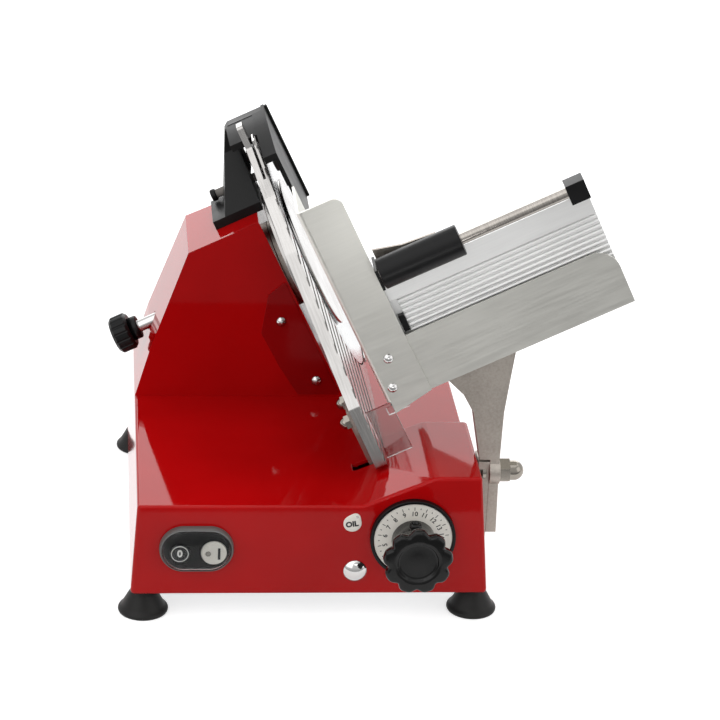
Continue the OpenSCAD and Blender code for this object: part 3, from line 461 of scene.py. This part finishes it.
# Drive inside the housing: motor, toothless belt, two pulleys, bearing tube and bearings.
# Castings are tumbled, so they have a dull even grain; shafts and bearings are ground.
cast_aluminium = drawn_metal(
    "tumbled_cast_aluminium", "9A938B", "B3ACA4", rough=(0.42, 0.54), run=(500, 500, 500), depth=0.1)
ground_steel = drawn_metal(
    "ground_steel", "8F8A85", "A9A49E", rough=(0.16, 0.26), run=(900, 60, 60), depth=0.03)
dress(rolled_steel, "motor", edge=0.0008)
dress(cast_aluminium, "motor_pulley", "bearing_housing", "blade_pulley", edge=0.0005)
dress(ground_steel, "shaft_bearings", "blade_shaft", edge=0.0004)
dress(black_rubber, "drive_belt")

# Blade: a dished disc of polished stainless steel, ground on its edge.
# Turning leaves fine rings around the axis, drawn about 1.5 mm apart so that they show.
# A wave texture of scale 1 repeats about every 0.314 m.
ring_gap = 0.0015
wave_length = 0.314
blade_steel, tree, place = blank("turned_stainless_steel")
centred = put(tree, "ShaderNodeMapping", {
    "Vector": place, "Location": hub, "Rotation": (0, tilt, 0)}, vector_type="TEXTURE")
rings = put(tree, "ShaderNodeTexWave", {
    "Vector": centred.outputs[0], "Scale": wave_length / ring_gap, "Distortion": 0.4, "Detail": 2.0},
    wave_type="RINGS", rings_direction="X").outputs["Fac"]
coat(tree, {
    "Metallic": 1.0,
    "Base Color": tone(tree, rings, (0.2, 0.8), ("B2B3B4", "C6C7C8")),
    "Roughness": spread(tree, rings, (0, 1), (0.16, 0.26))})
dress(blade_steel, "blade", edge=0.0002)
dress(rolled_steel, "blade_screws")

# Disc in the dish of the blade and the ring around its far edge: polished, anodised aluminium.
polished_aluminium = drawn_metal(
    "polished_aluminium", "9C9A98", "B2B0AE", rough=(0.16, 0.26), run=(600, 40, 40), depth=0.03)
dress(polished_aluminium, "blade_cover", "ring_guard", edge=0.0006)

# Tie rod through the hollow shaft, chromed, with its fluted moulded knob.
# The knob's moulded hub wraps the collar of the rod.
dress(chrome, "tie_rod", edge=0.0004)
black_plastic = moulded(
    "moulded_black_plastic", "0B0B0C", "121213", rough=(0.3, 0.42), grit=0.0009, depth=0.12, ior=1.28)
dress(black_plastic, "tie_rod_knob", edge=0.0007, rows=3)
blade_axis = Matrix.Translation(hub) @ Matrix.Rotation(tilt + quarter, 4, "Y") @ Matrix.Scale(mm, 4)
collar_wrap = ((-177.9, 10.05), (-177.9, 10.6), (-171.6, 10.6), (-170.9, 10), (-170.9, 5.7))
knob_hub = turned_piece("tie_rod_knob_hub", blade_axis, collar_wrap, 48, black_plastic, "tie_rod_set")

# Sharpener: glass-filled nylon bridge and hood over the blade edge, with two bonded stones inside.
# The nylon is dull black and takes a grey sheen where it bends away.
dull_nylon = moulded(
    "moulded_black_nylon", "101010", "181818", rough=(0.36, 0.46), grit=0.0007, depth=0.2, ior=1.28)
dress(dull_nylon, "sharpener_body", "sharpening_button", edge=0.0012, rows=3)
dress(dull_nylon, "sharpener_hood", edge=0.0018, rows=4)
bonded_stone = moulded(
    "bonded_grey_stone", "6E6A66", "8A8681", rough=(0.85, 0.95), grit=0.0012, depth=0.6)
dress(bonded_stone, "sharpening_stone", "deburring_stone", edge=0.0004)

# Gauge plate: thick polished aluminium with slanting ribs, on a casting held by two acorn nuts.
dress(polished_aluminium, "gauge_plate", edge=0.0004, whole=False)
dress(cast_aluminium, "gauge_support", "gauge_rod_bracket", edge=0.0008)
nickel = plated("satin_nickel_plate", "928C84", rough=0.1)
dress(nickel, "gauge_nuts", edge=0.0004)
dress(ground_steel, "cam_roller", "gauge_rod", edge=0.0004)

# Thickness knob: lobed black phenolic on a shaft with a spiral cam, in front of a printed cream dial.
# The moulding tapers from a round collar to nine lobes, has a dished face and a boss for its grub screw.
# It is polished, so each lobe has a small bright line.
# A third number in its profile is the share of the full notch between lobes.
black_phenolic = moulded(
    "polished_black_phenolic", "060606", "0B0B0B", rough=(0.1, 0.18), grit=0.003, depth=0.04, ior=1.34)
knob = centre("knob_shaft")
lobes = 9
notch = 0.13


def lobed(turn, share):
    dip = (0.5 - 0.5 * math.cos(lobes * turn)) ** 2.2
    return 1 - share * notch * dip


collar = ((5, 17.4, 0), (5.6, 18, 0), (21, 18, 0))
taper = ((24.5, 18.6, 0.1), (29, 21, 0.4), (34, 25, 0.8))
grip = ((38.5, 28, 1), (41.5, 28.8, 1), (44.6, 28.7, 1), (46.2, 27.9, 1), (46.9, 26.6, 1))
face_edge = ((47, 25, 0.9), (47, 20, 0.2), (46.9, 17.6, 0))
dished_face = ((46.4, 16.9, 0), (44.6, 16.3, 0), (44.1, 15.6, 0), (44, 14.4, 0), (44, 7, 0), (44, 0.5, 0))
knob_profile = collar + taper + grip + face_edge + dished_face
boss_side = ((15, 5.2), (18.6, 5.2), (19.6, 4.9), (20, 4.3), (20, 3.4))
screw_hole = ((19.7, 3.0), (17.5, 2.9), (17.2, 2.5), (17.2, 0.3))
boss_out = 0.0145
boss_place = Matrix.Translation((knob.x, panel - boss_out, knob.z)) @ Matrix.Scale(mm, 4)
built = bmesh.new()
lathe(built, facing(knob.x, knob.z, panel), knob_profile, count=216, caps=(-1, 0), shape=lobed)
lathe(built, boss_place, boss_side + screw_hole, count=48, caps=(-1, 0))
lobed_knob = finished("lobed_knob", built, black_phenolic, "thickness_set")
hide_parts("thickness_knob")
dress(black_plastic, "dial_ring", edge=0.0006, rows=3)
dress(ground_steel, "knob_shaft", edge=0.0004)
dress(cast_aluminium, "thickness_cam", edge=0.0004)
cream_print = moulded("cream_abs", "EBE6DC", "F1EDE5", rough=(0.35, 0.45), grit=0.0012, depth=0.05)
dress(cream_print, "dial_disc", edge=0.0004)

# Printed scale: one number and tick for each millimetre, ticks half-way between, and 10 at the top.
# Numbers stand 0.1 mm proud of the disc and ticks 0.2 mm. A tick has its inner and outer radius and width.
black_ink = moulded("black_screen_ink", "17171A", "212124", rough=(0.5, 0.6), grit=0.0004, depth=0.1)
dial_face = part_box("dial_disc")[0].y
last_number = 14
top_number = 10
step = math.radians(286) / last_number
number_ring = 0.0236
number_size = 0.0056
long_tick = (0.0268, 0.0298, 0.0005)
short_tick = (0.0279, 0.0292, 0.0006)
tick_depth = 0.0002


def on_dial(radius, turn):
    return knob.x + radius * math.sin(turn), knob.z + radius * math.cos(turn)


numbers = []
for n in range(last_number + 1):
    turn = (n - top_number) * step
    numbers.append((str(n), number_size, *on_dial(number_ring, turn), turn))
lettering("dial_numbers", numbers, dial_face, black_ink, "thickness_set", bold=0.00008)
ticks = []
for k in range(2 * last_number + 1):
    turn = (k / 2 - top_number) * step
    inner, outer, wide = short_tick if k % 2 else long_tick
    ticks.append((*on_dial((inner + outer) / 2, turn), wide, outer - inner, turn))
bars("dial_ticks", ticks, dial_face, tick_depth, black_ink, "thickness_set")

# Index on the fixed ring: a small white mark where the closed plate reads zero.
white_paint = moulded("white_paint_fill", "E4E3DF", "EDECE9", rough=(0.45, 0.55), grit=0.0006, depth=0.1)
mark_depth = 0.0003
index_ring = 0.0342
index_size = (0.001, 0.002)
index_turn = -top_number * step
index_bar = (*on_dial(index_ring, index_turn), *index_size, index_turn)
bars("dial_index", [index_bar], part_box("dial_ring")[0].y, mark_depth, white_paint, "base")

# Switch: a black oval body with a dark stop button and a cream start button, which has a small lamp.
dress(black_plastic, "switch_housing", edge=0.0008, rows=3)
dark_abs = moulded("dark_grey_abs", "262728", "303132", rough=(0.2, 0.3), grit=0.0012, depth=0.05, ior=1.35)
dress(dark_abs, "stop_button", edge=0.0006, rows=3)
white_abs = moulded("cream_white_abs", "DDD9D0", "E8E4DC", rough=(0.25, 0.35), grit=0.0012, depth=0.05)
dress(white_abs, "start_button", edge=0.0006, rows=3)
switch_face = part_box("stop_button")[0].y
stop = centre("stop_button")
start = centre("start_button")
zero_size = 0.0088
bar_size = (0.0021, 0.0105)
bar_x = start.x + 0.0042
lamp_x = start.x - 0.0048
stop_zero = ("0", zero_size, stop.x, stop.z, 0)
lettering("stop_mark", [stop_zero], switch_face, white_paint, "stop_set", thick=mark_depth, bold=0.0003)
start_bar = (bar_x, start.z, *bar_size, 0)
bars("start_mark", [start_bar], switch_face, mark_depth, black_ink, "start_set")
smoked_lens = moulded("smoked_lamp_lens", "8B8780", "97938C", rough=(0.2, 0.3), grit=0.0006, depth=0.05)
ring_profile = ((0, 6.6), (0.4, 6.6), (0.5, 6.9), (0.4, 7.2), (0, 7.2))
ring_place = facing(stop.x, stop.z, switch_face)
turned_piece("stop_ring", ring_place, ring_profile, 60, white_paint, "stop_set")
lamp_profile = ((0, 2.3), (0.3, 2.3), (0.6, 2.0), (0.8, 1.2), (0.85, 0.3))
lamp_place = facing(lamp_x, start.z, switch_face)
turned_piece("start_lamp", lamp_place, lamp_profile, 40, smoked_lens, "start_set", caps=(-1,))

# Clear silicone boot, domed over both buttons and held by a grey rim, which keeps grease out.
# Both are ovals: circles pulled 10.5 mm to each side.
clear_silicone = clear("clear_silicone", "E9EAEA", ior=1.18, grain=0.008, rough=(0.02, 0.1))
switch = centre("switch_housing")
oval = 10.5
boot_outside = ((10, 3.5), (9.8, 10.5), (9.2, 15.1), (8.2, 17.1), (6.6, 18), (5.05, 18.1))
boot_inside = ((5.05, 17.1), (6.3, 16.9), (7.5, 16.1), (8.4, 14.3), (9, 9.9), (9.2, 3.1))
switch_place = facing(switch.x, switch.z, panel)
boot = turned_piece("switch_boot", switch_place, boot_outside + boot_inside, 80, clear_silicone, "base",
                    caps=(0, -1), stretch=oval)
grey_abs = moulded("grey_abs", "5A5856", "686664", rough=(0.3, 0.4), grit=0.0012, depth=0.05, ior=1.38)
rim_profile = ((0.05, 20.2), (3.6, 20.1), (5, 19.6), (5.6, 18.9), (5.5, 18.4), (5.02, 18.3))
turned_piece("switch_rim", switch_place, rim_profile, 80, grey_abs, "base", stretch=oval)

# Oiling point: a chromed dome plug below a small cream tag that names it, held by a chromed rivet.
# The tag is round with one blunt point, turned to the upper right.
dress(chrome, "chrome_plug")
plug = centre("chrome_plug")
tag_x = plug.x - 0.004
tag_z = plug.z + 0.0448
tag_turn = math.radians(24)
tag_front = panel - 0.85 * mm


def pointed(turn):
    return 1 + 0.3 * max(0.0, math.cos(turn)) ** 7


tag_place = facing(tag_x, tag_z, panel) @ Matrix.Rotation(-tag_turn, 4, "Z")
tag_profile = ((0, 7.5), (0.6, 7.5), (0.8, 7.275), (0.85, 3.75))
oil_tag = turned_piece("oil_tag", tag_place, tag_profile, 60, cream_print, "base", caps=(-1,), shape=pointed)
word_size = 0.0066
word_turn = math.radians(-9)
tag_word = ("OIL", word_size, tag_x - 0.0004, tag_z - 0.0006, word_turn)
lettering("oil_tag_words", [tag_word], tag_front, black_ink, "base", bold=0.00032)
rivet_place = facing(tag_x + 0.0036, tag_z + 0.0062, panel)
rivet_profile = ((0.8, 1.1), (1.0, 1.1), (1.05, 0.9), (1.0, 0.3))
rivet = turned_piece("oil_tag_rivet", rivet_place, rivet_profile, 24, chrome, "base")

# Cable gland in the rear panel: a moulded nut with a clamped throat.
dress(black_plastic, "cable_gland", edge=0.0006, rows=3)

# Carriage: ground rods in the base, a cast slider on them, and the cast arm that carries the tray.
dress(ground_steel, "carriage_rod", "anti_turn_rod", edge=0.0005)
dress(cast_aluminium, "carriage_slider", "carriage_arm", edge=0.0015, rows=3)
dress(nickel, "arm_nut", edge=0.0006, rows=3)

# Tray, ribbed back wall and hand guard: folded and extruded aluminium, satin anodised.
# The satin grain runs along the feed and is drawn about 2 mm wide so that it shows.
# The wall ends in a moulded black cap.
satin_aluminium = drawn_metal(
    "satin_anodised_aluminium", "CDCCC6", "D5D4CE", rough=(0.4, 0.48), run=(25, 500, 500), depth=0.02)
dress(satin_aluminium, "tray", edge=0.0007, rows=3)
pale_aluminium = drawn_metal(
    "extruded_anodised_aluminium", "E4E4E3", "ECECEB", rough=(0.55, 0.62), run=(20, 500, 500), depth=0.02)
dress(pale_aluminium, "ribbed_wall", edge=0.0005)
dress(black_plastic, "wall_end_cap", edge=0.0004)
dress(satin_aluminium, "hand_guard", edge=0.0007, rows=3)
dress(chrome, "guard_screws")

# Clear shield below the guard: a bent piece of moulded acrylic that keeps a finger off the edge.
clear_acrylic = clear("clear_acrylic", "DADCDB", ior=1.25, grain=0.012, rough=(0.05, 0.16))
dress(clear_acrylic, "guard_shield", edge=0.0006, rows=3)

# Pusher: a ground steel rod in moulded end brackets, a sliding sleeve, a smooth grip and a toothed plate.
dress(ground_steel, "pusher_rod", edge=0.0004)
dress(black_plastic, "rod_brackets", edge=0.0008, rows=3)
dress(black_plastic, "pusher_sleeve", edge=0.0006)
dress(black_plastic, "pusher_handle", edge=0.0015, rows=4)
dress(cast_aluminium, "pusher_plate", edge=0.0005)
